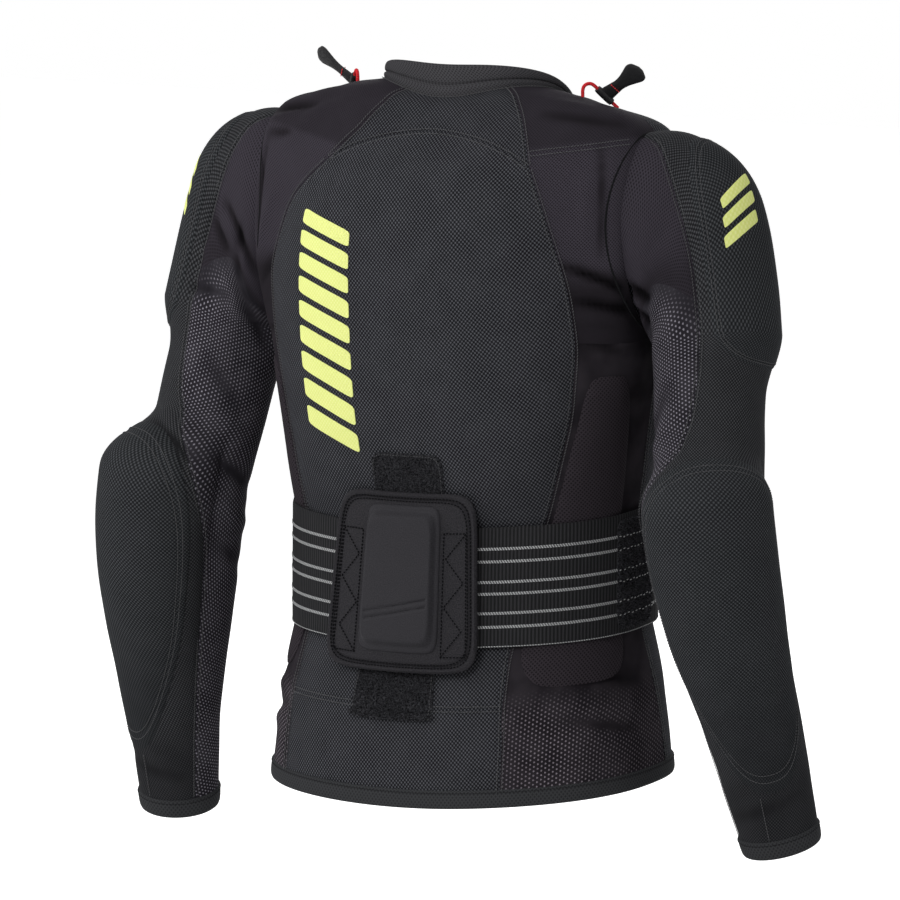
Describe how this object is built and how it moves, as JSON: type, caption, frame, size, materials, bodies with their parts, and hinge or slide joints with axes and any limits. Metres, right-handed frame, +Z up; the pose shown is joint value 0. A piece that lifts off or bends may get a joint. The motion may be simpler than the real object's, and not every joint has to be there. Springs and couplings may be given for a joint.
{
  "type": "protection jacket",
  "caption": "Long-sleeved protection jacket with a padded back protector, shoulder and elbow armour, kidney belt with lumbar plate, front zip and cord loops.",
  "frame": {"origin": "centre of the neck opening at the height of the collar seam at the back", "axes": "+Z up, +Y to the back of the jacket, +X to the wearer's left"},
  "size_m": [0.6476, 0.2443, 0.6568],
  "materials": {
    "back_fabric": "stretch knit with a fine diagonal pattern",
    "shoulder_fabric": "plain stretch knit, slightly violet grey",
    "mesh_fabric": "open mesh knit",
    "flank_fabric": "plain matt fabric",
    "sleeve_fabric": "stretch knit",
    "collar_fabric": "soft knit",
    "binding": "folded knit binding",
    "foam": "soft moulded foam",
    "belt_webbing": "ribbed elastic with silver lines",
    "hook_loop": "fuzzy loop tape",
    "plate_backing": "stitched laminate",
    "moulded_pad": "moulded fabric-faced foam",
    "zip_tape": "woven tape with a nylon coil",
    "zip_metal": "satin dark",
    "zip_pull": "moulded rubber",
    "cord": "braided elastic cord",
    "tab_rubber": "moulded rubber"
  },
  "bodies": {
    "jacket": {"back_panel": "back_fabric", "back_protector_core": "foam", "back_lining": "mesh_fabric", "back_yoke": "back_fabric", "lower_back_panel": "back_fabric", "shoulder_panel_L": "shoulder_fabric", "shoulder_panel_R": "shoulder_fabric", "side_panel_L": "mesh_fabric", "side_panel_R": "mesh_fabric", "flank_pad_L": "flank_fabric", "flank_pad_R": "flank_fabric", "front_panel_L": "back_fabric", "front_panel_R": "back_fabric", "collar": "collar_fabric", "hem_binding": "binding", "zip_half_L": "zip_tape", "zip_half_R": "zip_tape", "belt_band_L": "belt_webbing", "belt_band_R": "belt_webbing", "loop_patch_L": "hook_loop", "loop_patch_R": "hook_loop", "lumbar_foam": "foam", "lumbar_plate_backing": "plate_backing", "lumbar_plate_pad": "moulded_pad", "upper_hook_strip": "hook_loop", "lower_hook_strip": "hook_loop", "cord_loop_L": "cord", "cord_loop_R": "cord", "sleeve_head_L": "mesh_fabric", "sleeve_head_R": "mesh_fabric"},
    "slider": {"zip_slider": "zip_metal"},
    "puller": {"zip_puller": "zip_pull"},
    "flap_over": {"belt_flap_over": "belt_webbing"},
    "flap_under": {"belt_flap_under": "belt_webbing", "front_loop_patch": "hook_loop"},
    "tab_L": {"pull_tab_L": "tab_rubber"},
    "tab_R": {"pull_tab_R": "tab_rubber"},
    "arm_L": {"upper_sleeve_L": "mesh_fabric", "shoulder_armour_L": "foam", "shoulder_cover_L": "sleeve_fabric", "elbow_gusset_L": "mesh_fabric"},
    "arm_R": {"upper_sleeve_R": "mesh_fabric", "shoulder_armour_R": "foam", "shoulder_cover_R": "sleeve_fabric", "elbow_gusset_R": "mesh_fabric"},
    "forearm_L": {"forearm_sleeve_L": "sleeve_fabric", "elbow_armour_L": "foam", "elbow_cover_L": "sleeve_fabric", "cuff_binding_L": "binding"},
    "forearm_R": {"forearm_sleeve_R": "sleeve_fabric", "elbow_armour_R": "foam", "elbow_cover_R": "sleeve_fabric", "cuff_binding_R": "binding"}
  },
  "joints": [
    {"name": "shoulder_L", "type": "hinge", "parent": "jacket", "child": "arm_L", "pos_m": [0.165, 0, -0.02], "axis": [0, -1, 0], "range_deg": [0, 60], "deforming": ["sleeve_head_L"]},
    {"name": "elbow_L", "type": "hinge", "parent": "arm_L", "child": "forearm_L", "pos_m": [0.25, 0.039, -0.34], "axis": [-1, 0, 0], "range_deg": [0, 90], "deforming": ["elbow_gusset_L"]},
    {"name": "shoulder_R", "type": "hinge", "parent": "jacket", "child": "arm_R", "pos_m": [-0.165, 0, -0.02], "axis": [0, 1, 0], "range_deg": [0, 60], "deforming": ["sleeve_head_R"]},
    {"name": "elbow_R", "type": "hinge", "parent": "arm_R", "child": "forearm_R", "pos_m": [-0.25, 0.039, -0.34], "axis": [-1, 0, 0], "range_deg": [0, 90], "deforming": ["elbow_gusset_R"]},
    {"name": "belt_over", "type": "hinge", "parent": "jacket", "child": "flap_over", "pos_m": [0.15476, -0.02761, -0.389], "axis": [-0.0019, -0.0029, 1], "range_deg": [0, 100]},
    {"name": "belt_under", "type": "hinge", "parent": "jacket", "child": "flap_under", "pos_m": [-0.15476, -0.02761, -0.389], "axis": [-0.0019, 0.0029, -1], "range_deg": [0, 55]},
    {"name": "zip", "type": "slide", "parent": "jacket", "child": "slider", "axis": [0, -0.0499, -0.9988], "range_m": [0, 0.22]},
    {"name": "zip_pull", "type": "hinge", "parent": "slider", "child": "puller", "pos_m": [0, -0.08842, -0.05036], "axis": [-1, 0, 0], "range_deg": [0, 150]},
    {"name": "tab_L", "type": "hinge", "parent": "jacket", "child": "tab_L", "pos_m": [0.1205, -0.00473, 0.00161], "axis": [0.472, -0.5605, -0.6805], "range_deg": [-50, 35]},
    {"name": "tab_R", "type": "hinge", "parent": "jacket", "child": "tab_R", "pos_m": [-0.1205, -0.00473, 0.00161], "axis": [0.472, 0.5605, 0.6805], "range_deg": [-50, 35]}
  ],
  "couplings": [
    {"joint": "belt_under", "follows": "belt_over", "ratio": 0.5}
  ]
}
